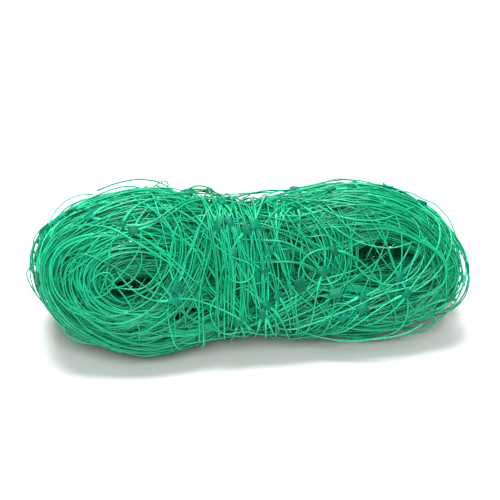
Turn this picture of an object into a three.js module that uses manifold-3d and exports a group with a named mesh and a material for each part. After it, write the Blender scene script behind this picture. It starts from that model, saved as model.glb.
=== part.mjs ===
// Folded trellis netting: a green extruded net, gathered lengthwise into a soft rope, wound
// round and round into a hank with an eye at each end, and held by its own last turns,
// which go round the waist. It lies on its edge, with the eyes turned to the front and up.
//
// Millimetres, +Z up, +X along the hank, -Y to the front. The origin is the middle of the
// underside. The net is one piece, so the whole hank is one solid: the rope's main turns
// with the ridges of their strands, the wraps, and the welds where the net's strands cross.

import * as THREE from "three";
import { ParametricGeometry } from "three/addons/geometries/ParametricGeometry.js";
import { mergeVertices } from "three/addons/utils/BufferGeometryUtils.js";
import Module from "manifold-3d";

const TAU = 2 * Math.PI;
const { degToRad, lerp } = THREE.MathUtils;

// The hank's own axes are x along it, w across its two legs and n through its eyes.
const TILT = degToRad(20); // how far the eyes look up from level
const SLOPE = -0.02; // rise of the middle line along x, as the left lobe is the thicker one
const CORNER = 2.4; // power of the superellipse that a turn follows, 2 being an ellipse
const WAIST = { x: 1, halfHeight: 32.5, halfDepth: 30.5, spread: 42 };
// The left end curls up a little past bendFrom, and the right end hangs down.
const LEFT = { rim: 130.5, eyeEnd: 94, halfHeight: 52.5, halfDepth: 38, bendFrom: 78, bend: 0.0018 };
const RIGHT = { rim: 129.5, eyeEnd: 102, halfHeight: 49, halfDepth: 36, bendFrom: 57, bend: -0.0016 };
const EYES = [
  { x: -75, halfHeight: 10, spread: 17, shift: -9 },
  { x: 80, halfHeight: 12, spread: 20, shift: 5.5 },
];
// The packed inside fills the hank between its legs and closes the eyes behind their hollows.
const CORE = {
  x: 112,
  w: 28,
  n: 27,
  hollowFloor: 9, // how far in front of the hank's middle plane the bottom of a hollow lies
  hollowSpread: 24,
  backFill: 1.6, // how much further back it reaches behind a hollow
  sides: 28,
  steps: 16,
};

// The rope's section is flattened to its place in the leg, and its strands make the ridges.
const ROPE = {
  share: 0.27, // half width as a share of the leg's thickness
  halfDepth: 12,
  ridges: 4,
  ridgeHeight: 0.13,
  lay: 2, // turns of the ridges round the rope in one turn of the hank
  sides: 12,
  steps: 36,
};
// rank 0 is beside the eye and 1 at the rim; row -1 is the back of the hank and 1 its front.
const TURNS = [
  { rank: 0.66, row: -0.67, sway: 2.0, phase: 0.4 },
  { rank: 0.73, row: -0.22, sway: 3.5, phase: 2.1 },
  { rank: 0.74, row: 0.27, sway: 3.0, phase: 3.9 },
  { rank: 0.70, row: 0.71, sway: 2.0, phase: 5.2 },
  { rank: 0.31, row: -0.72, sway: 2.0, phase: 1.3 },
  { rank: 0.31, row: -0.22, sway: 2.0, phase: 4.4 },
  { rank: 0.31, row: 0.24, sway: 2.0, phase: 0.2 },
  { rank: 0.31, row: 0.73, sway: 2.0, phase: 2.9 },
];

// The wraps round the waist are the end of the same rope, pulled flat.
const WRAP = { halfWidth: 12.5, halfThick: 5, ridges: 4, ridgeHeight: 0.12, sides: 12, steps: 24 };
const WRAPS = [
  { x: -21, lean: -0.28, rise: 1.5, phase: 0.0 },
  { x: -3, lean: -0.12, rise: 2.5, phase: 1.7 },
  { x: 14, lean: 0.03, rise: 1.5, phase: 3.1 },
];

// A weld is a square where two strands of the net cross, raised from the turn that it lies on.
const WELD = { across: 6.5, thick: 2.4 };
// The largest welds on the front, by their place to the right of and above the hank's middle
// for an eye that looks from VIEW.
const VIEW = { azimuth: degToRad(-8), elevation: degToRad(28) };
const FRONT_WELDS = [
  { right: -105, up: 29 },
  { right: -95, up: 26 },
  { right: -121, up: 18 },
  { right: -85, up: 2 },
  { right: -69, up: 20 },
  { right: -124, up: -8 },
  { right: -45, up: -13 },
  { right: -36, up: 39 },
  { right: -19, up: 23 },
  { right: -11, up: 6 },
  { right: -2, up: 21 },
  { right: 12, up: 9 },
  { right: 8, up: -3 },
  { right: 7, up: -29 },
  { right: 16, up: 30 },
  { right: 29, up: -12 },
  { right: 27, up: 41 },
  { right: 50, up: 9 },
  { right: 51, up: -17 },
  { right: 66, up: -27 },
  { right: 89, up: -7 },
  { right: 95, up: 41 },
  { right: 93, up: -17 },
  { right: 130, up: -2 },
];
const OTHER_WELDS = 36; // on the top, the back and the ends, spread by a fixed turn

const FLAT_SPOT = 6; // how much of the underside the hank's own weight presses level

const bell = (x, middle, spread) => Math.exp(-(((x - middle) / spread) ** 2));
const soft = (v) => Math.sign(v) * Math.abs(v) ** (2 / CORNER);

// A size that is the waist's at the waist and the lobe's away from it.
function alongHank(x, size) {
  const lobe = x < WAIST.x ? LEFT : RIGHT;
  return lerp(lobe[size], WAIST[size], bell(x, WAIST.x, WAIST.spread));
}

// How far the hank's middle line lies across from its long axis.
function middleLine(x) {
  const { bendFrom, bend } = x < WAIST.x ? LEFT : RIGHT;
  return SLOPE * x + bend * Math.max(0, Math.abs(x) - bendFrom) ** 2;
}

const eyeHalf = (x) => Math.max(...EYES.map((e) => e.halfHeight * bell(x, e.x, e.spread)));
const eyeShift = (x) => EYES.reduce((sum, e) => sum + e.shift * bell(x, e.x, 2 * e.spread), 0);

// Turns the hank's axes into the part's, with the front of the eyes tilted up.
function standUp(x, w, n, target) {
  return target.set(
    x,
    w * Math.sin(TILT) - n * Math.cos(TILT),
    w * Math.cos(TILT) + n * Math.sin(TILT),
  );
}

// A turn of the gathered rope, closed on itself. Its section is measured in rank and row, so
// that it narrows with the leg and never folds at the tight bends beside the eyes.
function ropeTurn({ rank, row, sway, phase }) {
  const surface = (u, v, target) => {
    const angle = TAU * v;
    const round = TAU * u;
    const c = Math.cos(angle);
    const end = c < 0 ? LEFT : RIGHT;
    const ridge = 1 + ROPE.ridgeHeight * Math.cos(ROPE.ridges * round + ROPE.lay * angle + phase);
    const r = rank + ROPE.share * ridge * Math.cos(round);
    const x = lerp(end.eyeEnd, end.rim, r) * soft(c);
    const leg = alongHank(x, "halfHeight") - eyeHalf(x);
    const side = soft(Math.sin(angle));
    const w = (eyeHalf(x) + r * leg) * side + (1 - r) * eyeShift(x) + middleLine(x);
    const thinner = alongHank(x, "halfDepth") / LEFT.halfDepth;
    const middle = row * LEFT.halfDepth + sway * Math.sin(2 * angle + phase);
    standUp(x, w, thinner * (middle + ROPE.halfDepth * ridge * Math.sin(round)), target);
  };
  return new ParametricGeometry(surface, ROPE.sides, ROPE.steps);
}

// A turn of the rope round the waist, closed on itself, which hugs the lobes' shoulders.
function waistWrap(wrap) {
  const surface = (u, v, target) => {
    const angle = TAU * v;
    const round = TAU * u;
    const ridge = 1 + WRAP.ridgeHeight * Math.cos(WRAP.ridges * round + wrap.phase);
    const out = wrap.rise + WRAP.halfThick * ridge * Math.cos(round);
    const leaning = wrap.lean * WAIST.halfHeight * soft(Math.cos(angle));
    const x = wrap.x + leaning + WRAP.halfWidth * ridge * Math.sin(round);
    const w = (alongHank(x, "halfHeight") + out) * soft(Math.cos(angle)) + middleLine(x);
    const n = (alongHank(x, "halfDepth") + out) * soft(Math.sin(angle));
    standUp(x, w, n, target);
  };
  return new ParametricGeometry(surface, WRAP.sides, WRAP.steps);
}

// The packed strands inside the hank, which show only at the bottom of the eyes' hollows.
function packedCore() {
  const core = new THREE.SphereGeometry(1, CORE.sides, CORE.steps);
  const points = core.getAttribute("position");
  const place = new THREE.Vector3();
  for (let i = 0; i < points.count; i += 1) {
    const x = CORE.x * points.getX(i);
    const depth = CORE.n * points.getY(i);
    const atEye = Math.max(...EYES.map((e) => bell(x, e.x, CORE.hollowSpread)));
    const hollowed = depth > 0 ? Math.min(depth, CORE.hollowFloor) : CORE.backFill * depth;
    const w = CORE.w * points.getZ(i) + middleLine(x) + eyeShift(x);
    standUp(x, w, lerp(depth, hollowed, atEye), place);
    points.setXYZ(i, place.x, place.y, place.z);
  }
  return core;
}

const wasm = await Module();
wasm.setup();

// A closed three.js geometry as a solid that faces out.
function solidOf(geometry) {
  const bare = geometry.clone();
  bare.deleteAttribute("normal");
  bare.deleteAttribute("uv");
  const merged = mergeVertices(bare, 1e-3);
  const vertProperties = new Float32Array(merged.attributes.position.array);
  const triVerts = new Uint32Array(merged.index.array);
  const made = new wasm.Manifold(new wasm.Mesh({ numProp: 3, vertProperties, triVerts }));
  if (made.volume() > 0) return made;
  for (let i = 0; i < triVerts.length; i += 3) {
    [triVerts[i + 1], triVerts[i + 2]] = [triVerts[i + 2], triVerts[i + 1]];
  }
  return new wasm.Manifold(new wasm.Mesh({ numProp: 3, vertProperties, triVerts }));
}

function geometryOf(solid) {
  const { vertProperties, triVerts } = solid.getMesh();
  const geometry = new THREE.BufferGeometry();
  geometry.setAttribute("position", new THREE.BufferAttribute(vertProperties, 3));
  geometry.setIndex(new THREE.BufferAttribute(triVerts, 1));
  return geometry;
}

const join = (solids) => solids.reduce((all, next) => all.add(next));

// The solid without the small closed pockets that its turns leave inside. Points nearer than
// a merge are made one first, as they may part a sliver from it.
function withoutPockets(solid) {
  return solidOf(geometryOf(solid))
    .decompose()
    .reduce((best, body) => (body.volume() > best.volume() ? body : best));
}

// A weld lying on the hank where a ray meets it, or none where the ray misses.
function weldAt(surface, from, towards, spin) {
  const [hit] = new THREE.Raycaster(from, towards).intersectObject(surface);
  if (!hit) return [];
  const weld = new THREE.BoxGeometry(WELD.across, WELD.across, WELD.thick).rotateZ(spin);
  const upright = new THREE.Vector3(0, 0, 1);
  const lie = new THREE.Quaternion().setFromUnitVectors(upright, hit.face.normal);
  return [weld.applyQuaternion(lie).translate(hit.point.x, hit.point.y, hit.point.z)];
}

function frontWelds(surface) {
  const far = 400;
  return FRONT_WELDS.flatMap(({ right, up }, i) => {
    const place = new THREE.Vector3(right, -far, up);
    const sight = new THREE.Vector3(0, 1, 0);
    const turn = new THREE.Euler(-VIEW.elevation, 0, VIEW.azimuth, "ZXY");
    return weldAt(surface, place.applyEuler(turn), sight.applyEuler(turn), degToRad(45 + 17 * i));
  });
}

// Welds on the sides that the front view doesn't reach.
function otherWelds(surface) {
  const turnBetween = degToRad(137.5);
  const span = 2 * RIGHT.rim;
  return Array.from({ length: OTHER_WELDS }, (_, i) => {
    const x = span * ((i + 0.5) / OTHER_WELDS - 0.5);
    const round = degToRad(-20) + (turnBetween * i) % degToRad(240);
    const towards = new THREE.Vector3(0, -Math.cos(round), -Math.sin(round));
    const middle = new THREE.Vector3(0.85 * x, 0, 0);
    const from = middle.clone().addScaledVector(towards, -200).setX(1.1 * x);
    return weldAt(surface, from, middle.sub(from).normalize(), degToRad(45 + 29 * i));
  }).flat();
}

const turns = [packedCore(), ...TURNS.map(ropeTurn), ...WRAPS.map(waistWrap)];
const wound = withoutPockets(join(turns.map(solidOf)));
const surface = new THREE.Mesh(geometryOf(wound));
const welds = [...frontWelds(surface), ...otherWelds(surface)];
const welded = join([wound, ...welds.map(solidOf)]);

// The underside is pressed level, and the middle of it is put at the origin.
const whole = geometryOf(welded);
whole.computeBoundingBox();
const { min, max } = whole.boundingBox;
const block = new THREE.BoxGeometry(2 * (max.x - min.x), 2 * (max.y - min.y), 50);
block.translate(0, 0, min.z + FLAT_SPOT - 25);
const hank = withoutPockets(welded.subtract(solidOf(block)));
const shape = geometryOf(hank);
shape.computeBoundingBox();
const middle = shape.boundingBox.getCenter(new THREE.Vector3());
shape.translate(-middle.x, -middle.y, -shape.boundingBox.min.z);

const net = new THREE.Mesh(
  shape,
  new THREE.MeshStandardMaterial({ color: 0x17a473, roughness: 0.35, metalness: 0 }),
);
net.name = "netting";

const part = new THREE.Group();
part.add(net);

export default part;
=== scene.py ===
"""A hank of green trellis netting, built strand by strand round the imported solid.

The net is gathered into a soft rope, wound into a long loop with an eye at each end, and held by
its last turns round the waist. The hank's own axes are x along it, w across its two legs and n
through its eyes. Sizes are in metres. Places on the front are in millimetres right of and above
the hank's middle, as the photograph's view shows them.
"""

import logging
import math
from dataclasses import dataclass

import bmesh
import bpy
import numpy as np
from mathutils import Matrix, Vector
from mathutils.bvhtree import BVHTree


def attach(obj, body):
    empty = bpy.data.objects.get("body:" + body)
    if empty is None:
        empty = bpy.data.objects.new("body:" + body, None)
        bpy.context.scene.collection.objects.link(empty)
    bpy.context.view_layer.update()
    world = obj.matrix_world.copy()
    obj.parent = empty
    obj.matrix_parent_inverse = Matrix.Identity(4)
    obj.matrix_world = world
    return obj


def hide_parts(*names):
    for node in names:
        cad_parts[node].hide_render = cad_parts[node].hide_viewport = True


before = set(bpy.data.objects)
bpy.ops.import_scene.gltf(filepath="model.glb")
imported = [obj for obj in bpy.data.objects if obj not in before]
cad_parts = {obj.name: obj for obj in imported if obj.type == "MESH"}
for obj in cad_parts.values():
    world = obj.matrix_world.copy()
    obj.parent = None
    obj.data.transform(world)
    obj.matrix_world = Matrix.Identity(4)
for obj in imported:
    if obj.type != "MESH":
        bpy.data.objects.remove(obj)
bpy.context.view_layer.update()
LOG = logging.getLogger("netting")

MM = 0.001
TAU = 2 * math.pi
GOLDEN_TURN = math.pi * (3 - math.sqrt(5))
GOLDEN_SHARE = 0.618034  # spreads places evenly
ROUTE_STEP = 0.002  # how far apart the places of a route on the skin are


def bell(x: np.ndarray, middle: float, spread: float) -> np.ndarray:
    """A smooth bump that is 1 at its middle."""
    return np.exp(-(((x - middle) / spread) ** 2))


def rounded(v: np.ndarray, power: float) -> np.ndarray:
    """The cosine or sine of a superellipse of this power."""
    return np.sign(v) * np.abs(v) ** (2 / power)


def unit(v: np.ndarray) -> np.ndarray:
    """Each row of v at length 1."""
    return v / np.maximum(np.linalg.norm(v, axis=-1, keepdims=True), 1e-12)


def travelled(points: np.ndarray) -> np.ndarray:
    """How far along its path each point lies."""
    steps = np.linalg.norm(np.diff(points, axis=0), axis=1)
    return np.concatenate(([0.0], np.cumsum(steps)))


def wander(
    rng: np.random.Generator, along: np.ndarray, reach: float, shortest: float, longest: float
) -> np.ndarray:
    """A smooth random wave along a path.

    Args:
        rng: Where its chance comes from.
        along: How far along the path each point lies.
        reach: About how far the wave strays from 0.
        shortest: Its shortest wavelength.
        longest: Its longest wavelength.

    Returns:
        The wave at each point.
    """
    waves = 4
    lengths = np.exp(rng.uniform(math.log(shortest), math.log(longest), waves))
    sizes = reach * rng.uniform(0.3, 1.0, waves) * (lengths / longest) ** 0.5 / 1.4
    starts = rng.uniform(0, TAU, waves)
    return (sizes[:, None] * np.sin(TAU * along / lengths[:, None] + starts[:, None])).sum(0)


def wiggle(rng: np.random.Generator, along: np.ndarray, reach: float) -> np.ndarray:
    """A small random shift in all three directions along a path."""
    return np.stack([wander(rng, along, reach, 0.02, 0.09) for _ in range(3)], axis=1)


def raised(spots: np.ndarray, outs: np.ndarray, lift: np.ndarray) -> np.ndarray:
    """A path on the skin, lifted off it and smoothed.

    Args:
        spots: The path's places.
        outs: The directions out of the skin there.
        lift: How far each place is lifted.

    Returns:
        The path.
    """
    points = spots + outs * lift[:, None]
    for _ in range(4):
        points[1:-1] = (points[:-2] + 2 * points[1:-1] + points[2:]) / 4
    return points


def diving(along: np.ndarray, reach: float) -> np.ndarray:
    """How far the two ends of a path dive in: 1 at its ends and 0 along its middle."""
    return np.minimum(np.exp(-along / reach) + np.exp(-(along[-1] - along) / reach), 1)


def smooth_route(places: np.ndarray, spacing: float) -> np.ndarray:
    """A Catmull-Rom curve through a few places.

    Args:
        places: The places, one a row.
        spacing: About how far apart the curve's points are.

    Returns:
        The curve's points.
    """
    ends = np.vstack((2 * places[0] - places[1], places, 2 * places[-1] - places[-2]))
    out = []
    for before, start, stop, after in zip(ends, ends[1:], ends[2:], ends[3:]):
        count = max(2, int(np.linalg.norm(stop - start) / spacing))
        t = np.linspace(0, 1, count, endpoint=False)[:, None]
        linear = (stop - before) * t
        square = (2 * before - 5 * start + 4 * stop - after) * t**2
        cube = (3 * start - before - 3 * stop + after) * t**3
        out.append(0.5 * (2 * start + linear + square + cube))
    out.append(places[-1:])
    return np.vstack(out)


def turned(way: Vector, out: Vector, turn: float) -> Vector:
    """A direction along the skin, turned left about the direction out of it."""
    return way * math.cos(turn) + out.cross(way) * math.sin(turn)


def mirrored(v: np.ndarray, about: np.ndarray) -> np.ndarray:
    """Each row of v, mirrored in the plane across the same row of about."""
    size = np.maximum((about * about).sum(1, keepdims=True), 1e-18)
    return v - 2 / size * (about * v).sum(1, keepdims=True) * about


def in_scene(name: str, data: bpy.types.ID) -> bpy.types.Object:
    """A new object with this data, in the scene."""
    made = bpy.data.objects.new(name, data)
    bpy.context.scene.collection.objects.link(made)
    return made


def smooth_piece(mesh: bpy.types.Mesh, tones: np.ndarray) -> bpy.types.Object:
    """A smooth object from a mesh.

    Args:
        mesh: The mesh.
        tones: The tone of each of its points, which becomes an attribute.

    Returns:
        The object, in the scene.
    """
    mesh.validate()
    mesh.shade_smooth()
    mesh.attributes.new("tone", "FLOAT", "POINT").data.foreach_set("value", tones)
    return in_scene(mesh.name, mesh)


@dataclass(frozen=True)
class Lobe:
    """One end of the hank: how far it and its eye reach, how thick it is and how it bends."""

    rim: float
    eye_end: float
    half_height: float
    half_depth: float
    bend_from: float
    bend: float


@dataclass(frozen=True)
class Eye:
    """The hollow between the legs in one lobe."""

    middle: float
    half_height: float
    spread: float
    shift: float


@dataclass(frozen=True)
class HankForm:
    """The hank's envelope, which each strand is laid in or on."""

    middle: tuple[float, float, float] = (-0.0002, 0.0006, 0.0440)
    tilt: float = math.radians(20)
    slope: float = -0.02
    corner: float = 2.25
    fullness: float = 3.0  # power of the superellipse that is a leg's section
    left: Lobe = Lobe(
        rim=0.1275, eye_end=0.088, half_height=0.0542, half_depth=0.0415, bend_from=0.078, bend=1.8
    )
    right: Lobe = Lobe(
        rim=0.1290, eye_end=0.097, half_height=0.0502, half_depth=0.0392, bend_from=0.057, bend=-1.6
    )
    waist: float = 0.001
    waist_half_height: float = 0.0325
    waist_half_depth: float = 0.0320
    waist_spread: float = 0.042
    wrap_rise: float = 0.006
    wrap_reach: float = 0.026
    tuck: float = 0.20  # how far the wraps' underside draws in
    leg_radius: float = 0.033  # of a leg's section as if it were round
    eyes: tuple[Eye, ...] = (
        Eye(middle=-0.075, half_height=0.0115, spread=0.020, shift=-0.009),
        Eye(middle=0.080, half_height=0.012, spread=0.020, shift=0.0055),
    )

    def half_height(self, x: np.ndarray) -> np.ndarray:
        """Half the hank's height across both legs, at x along it."""
        lobe = np.where(x < self.waist, self.left.half_height, self.right.half_height)
        near = bell(x, self.waist, self.waist_spread)
        return lobe + (self.waist_half_height - lobe) * near

    def half_depth(self, x: np.ndarray) -> np.ndarray:
        """Half the hank's depth through its eyes, at x along it."""
        lobe = np.where(x < self.waist, self.left.half_depth, self.right.half_depth)
        near = bell(x, self.waist, self.waist_spread)
        return lobe + (self.waist_half_depth - lobe) * near

    def middle_line(self, x: np.ndarray) -> np.ndarray:
        """How far the middle line lies across the hank: its left end curls up, its right hangs."""
        left = self.left.bend * np.maximum(0, -x - self.left.bend_from) ** 2
        right = self.right.bend * np.maximum(0, x - self.right.bend_from) ** 2
        return self.slope * x + left + right

    def wrapped(self, x: np.ndarray) -> np.ndarray:
        """How far the wraps raise the hank's outside, at x along it."""
        return self.wrap_rise * np.exp(-(((x - self.waist) / self.wrap_reach) ** 4))

    def eye_half(self, x: np.ndarray) -> np.ndarray:
        """Half the height of the eyes at x along the hank."""
        return np.maximum.reduce([e.half_height * bell(x, e.middle, e.spread) for e in self.eyes])

    def eye_shift(self, x: np.ndarray) -> np.ndarray:
        """How far the eyes are moved across the hank at x along it."""
        return sum(e.shift * bell(x, e.middle, 2 * e.spread) for e in self.eyes)

    def stand_up(self, x: np.ndarray, w: np.ndarray, n: np.ndarray) -> np.ndarray:
        """Turns places in the hank's own axes into the part's frame."""
        sin, cos = math.sin(self.tilt), math.cos(self.tilt)
        turned = np.stack((x, w * sin - n * cos, w * cos + n * sin), axis=-1)
        return turned + np.array(self.middle)

    def in_leg(self, angle: np.ndarray, rank: np.ndarray, row: np.ndarray) -> np.ndarray:
        """Places in the legs.

        Args:
            angle: How far round the hank, in radians.
            rank: 0 beside the eye and 1 at the rim.
            row: -1 at the back and 1 at the front.

        Returns:
            The places in the part's frame.
        """
        c, s = np.cos(angle), np.sin(angle)
        eye_end = np.where(c < 0, self.left.eye_end, self.right.eye_end)
        rim = np.where(c < 0, self.left.rim, self.right.rim)
        x = (eye_end + (rim - eye_end) * rank) * rounded(c, self.corner)
        eye = self.eye_half(x)
        w = (eye + rank * (self.half_height(x) - eye)) * rounded(s, self.corner)
        w = w + (1 - rank) * self.eye_shift(x) + self.middle_line(x)
        return self.stand_up(x, w, row * self.half_depth(x))

    def in_section(
        self,
        angle: np.ndarray,
        depth: np.ndarray,
        round_leg: np.ndarray,
        slack: np.ndarray | float = 0.0,
    ) -> np.ndarray:
        """Places in the legs, by where they lie in a leg's section.

        Args:
            angle: How far round the hank, in radians.
            depth: 0 in the middle of the leg and 1 at its surface.
            round_leg: Angle round the leg, 0 at the rim and a quarter turn at the front.
            slack: How far they sag from the rim towards the eye, as a share.

        Returns:
            The places in the part's frame.
        """
        rank = 0.5 + 0.5 * depth * rounded(np.cos(round_leg), self.fullness)
        row = depth * rounded(np.sin(round_leg), self.fullness)
        return self.in_leg(angle, rank * (1 - slack), row)

    def in_eye(self, angle: np.ndarray, share: np.ndarray, row: np.ndarray) -> np.ndarray:
        """Places between the legs.

        Args:
            angle: How far round the hank, in radians.
            share: 0 on the hank's middle line and 1 at a leg.
            row: -1 at the back and 1 at the front.

        Returns:
            The places in the part's frame.
        """
        c, s = np.cos(angle), np.sin(angle)
        eye_end = np.where(c < 0, self.left.eye_end, self.right.eye_end)
        x = (0.55 + 0.45 * share) * eye_end * rounded(c, self.corner)
        w = share * (self.eye_half(x) + 0.003) * s + self.eye_shift(x) + self.middle_line(x)
        return self.stand_up(x, w, row * self.half_depth(x))

    def round_waist(self, x: np.ndarray, angle: np.ndarray, out: np.ndarray) -> np.ndarray:
        """Places on a ring round both legs.

        Args:
            x: How far along the hank.
            angle: How far round the ring, 0 at the top and a quarter turn at the front.
            out: How far outside the legs.

        Returns:
            The places in the part's frame.
        """
        ends = np.where(x < self.waist, self.left.rim, self.right.rim)
        falling = (1 - np.abs(x / ends) ** self.corner) ** (1 / self.corner)
        w = (self.half_height(x) * falling + out) * rounded(np.cos(angle), self.corner)
        n = (self.half_depth(x) + out) * rounded(np.sin(angle), self.corner)
        n = n * (1 - self.tuck * np.maximum(0, -np.cos(angle)))
        return self.stand_up(x, w + self.middle_line(x), n)

    def lie_down(self, place: Vector) -> tuple[float, float, float]:
        """Turns a place in the part's frame into the hank's own axes."""
        x, y, z = place - Vector(self.middle)
        sin, cos = math.sin(self.tilt), math.cos(self.tilt)
        return x, y * sin + z * cos, z * sin - y * cos


class Skin:
    """The smooth outside of the hank with its eyes closed, which loose strands lie on."""

    rings = 16
    sectors = 120
    flat_share = 0.62
    fall_power = 2.8
    core_share = 0.6  # how far out the hank's core reaches, which tells outward from inward

    def __init__(self, form: HankForm) -> None:
        """Builds the skin.

        Args:
            form: The hank's envelope.
        """
        self.form = form
        angle = np.linspace(0, TAU, self.sectors, endpoint=False)
        verts, faces = [], []
        for side in (1, -1):
            for i in range(self.rings + 1):
                share = math.sin(0.5 * math.pi * i / self.rings)
                fall = max(0.0, (share - self.flat_share) / (1 - self.flat_share))
                rise = (1 - fall**self.fall_power) ** (1 / self.fall_power)
                rim = np.where(np.cos(angle) < 0, form.left.rim, form.right.rim)
                x = rim * share * rounded(np.cos(angle), form.corner)
                out = form.wrapped(x)
                w = (form.half_height(x) + out) * share * rounded(np.sin(angle), form.corner)
                n = side * rise * (form.half_depth(x) + out)
                verts.extend(form.stand_up(x, w + form.middle_line(x), n))
        for side in range(2):
            for i in range(self.rings):
                for k in range(self.sectors):
                    a = (side * (self.rings + 1) + i) * self.sectors
                    b = a + self.sectors
                    quad = [a + k, a + (k + 1) % self.sectors, b + (k + 1) % self.sectors, b + k]
                    faces.append(quad if side else quad[::-1])
        self.tree = BVHTree.FromPolygons([Vector(v) for v in verts], faces)

    def nearest(self, place: Vector) -> tuple[Vector, Vector]:
        """Finds the skin's nearest point.

        Args:
            place: A place in the part's frame.

        Returns:
            The point, and the direction out of the skin there.
        """
        spot, out, _, _ = self.tree.find_nearest(place)
        x = self.form.lie_down(spot)[0]
        inside = Vector(self.form.stand_up(np.array(self.core_share * x), np.array(0.0), np.array(0.0)))
        return spot, out if out.dot(spot - inside) > 0 else -out

    def flow(self, place: Vector, out: Vector) -> Vector:
        """The way that the winding runs along the skin.

        Args:
            place: A place on the skin.
            out: The direction out of the skin there.

        Returns:
            The direction there, at length 1.
        """
        form = self.form
        x, w, _ = form.lie_down(place)
        if abs(x - form.waist) < form.wrap_reach:
            way = out.cross(Vector((1, 0, 0)))
        else:
            lobe = form.left if x < 0 else form.right
            power = form.corner - 1
            along = math.copysign(abs(x / lobe.rim) ** power / lobe.rim, x)
            across = math.copysign(abs(w / lobe.half_height) ** power / lobe.half_height, w)
            way = Vector((-across, along * math.sin(form.tilt), along * math.cos(form.tilt)))
        way = way - out * way.dot(out)
        return way.normalized() if way.length > 1e-9 else out.orthogonal().normalized()

    def walk(
        self, start: Vector, heading: Vector, bend: np.ndarray, step: float, pull: float = 0.0
    ) -> tuple[np.ndarray, np.ndarray]:
        """Walks over the skin.

        Args:
            start: A place on the skin.
            heading: The way to set off.
            bend: How sharply the path turns left at each step, in radians for each metre.
            step: The length of a step.
            pull: How strongly the path turns towards the winding's own way.

        Returns:
            The path's places without the start, and the directions out of the skin there.
        """
        place, ahead = start, heading
        spots = []
        outs = []
        for turn in bend:
            place, out = self.nearest(place + ahead * step)
            ahead = (ahead - out * ahead.dot(out)).normalized()
            side = out.cross(ahead)
            if pull:
                flow = self.flow(place, out)
                turn = turn + pull * side.dot(flow) * math.copysign(1, ahead.dot(flow))
            ahead = (ahead + side * (float(turn) * step)).normalized()
            spots.append(place)
            outs.append(out)
        return np.array(spots).reshape(-1, 3), np.array(outs).reshape(-1, 3)


@dataclass
class Strand:
    """One strand: the points of its middle line, its radius and its tone at each point."""

    points: np.ndarray
    radius: np.ndarray
    tone: np.ndarray

    def length(self) -> float:
        """Its length in metres."""
        return float(travelled(self.points)[-1])


@dataclass(frozen=True)
class NetStyle:
    """How thick the net's strands are and how finely they are divided."""

    thin: float = 0.00040
    thick: float = 0.00058
    longest_step: float = 0.0070
    sharpest_turn: float = math.radians(14)
    floor_gap: float = 0.0006
    flare_reach: float = 0.0048
    flare_size: float = 0.8
    # painted highlight: how much lighter a strand is painted where it widens into a weld
    flare_highlight: float = 0.35
    flare_step: float = 0.0025
    shade_spread: float = 0.20

    def strand(
        self,
        rng: np.random.Generator,
        points: np.ndarray,
        tone: float = 0.0,
        welds: tuple[float, ...] = (),
        coarse: float = 1.0,
        swell: float = 1.0,
    ) -> Strand:
        """A strand on a fine path, with only the points that its bends need.

        Args:
            rng: Where its thickness and tone come from.
            points: The path, finely divided.
            tone: How much lighter or darker it is than its neighbours; for deep strands this is partly
                painted shade.
            welds: How far along it its welds lie, where it widens and gets a painted highlight.
            coarse: How much more coarsely it is divided than most.
            swell: How much thicker it is than most.

        Returns:
            The strand.
        """
        steps = np.diff(points, axis=0)
        length = np.maximum(np.linalg.norm(steps, axis=1), 1e-9)
        heading = steps / length[:, None]
        turn = np.arccos(np.clip((heading[1:] * heading[:-1]).sum(1), -1, 1))
        turn = np.concatenate((turn, [0.0]))
        cost = (length / self.longest_step + turn / self.sharpest_turn) / coarse
        fine = np.concatenate(([0.0], np.cumsum(length)))
        for weld in welds:
            cost = cost + length / self.flare_step * bell(fine[1:], weld, self.flare_reach)
        total = np.concatenate(([0.0], np.cumsum(cost)))
        marks = np.linspace(0, total[-1], max(3, int(math.ceil(total[-1])) + 1))
        kept = np.stack([np.interp(marks, total, points[:, k]) for k in range(3)], axis=1)
        kept[:, 2] = np.maximum(kept[:, 2], self.floor_gap)
        along = np.interp(marks, total, fine)
        radius = swell * rng.uniform(self.thin, self.thick)
        radius = radius * (1 + wander(rng, along, 0.12, 0.03, 0.2))
        shade = tone + rng.normal(0, self.shade_spread) + wander(rng, along, 0.15, 0.03, 0.15)
        for weld in welds:
            near = bell(along, weld, self.flare_reach)
            radius = radius * (1 + self.flare_size * near)
            # painted highlight: lighter towards each weld
            shade = shade + self.flare_highlight * near
        return Strand(kept, radius, shade)


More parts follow.
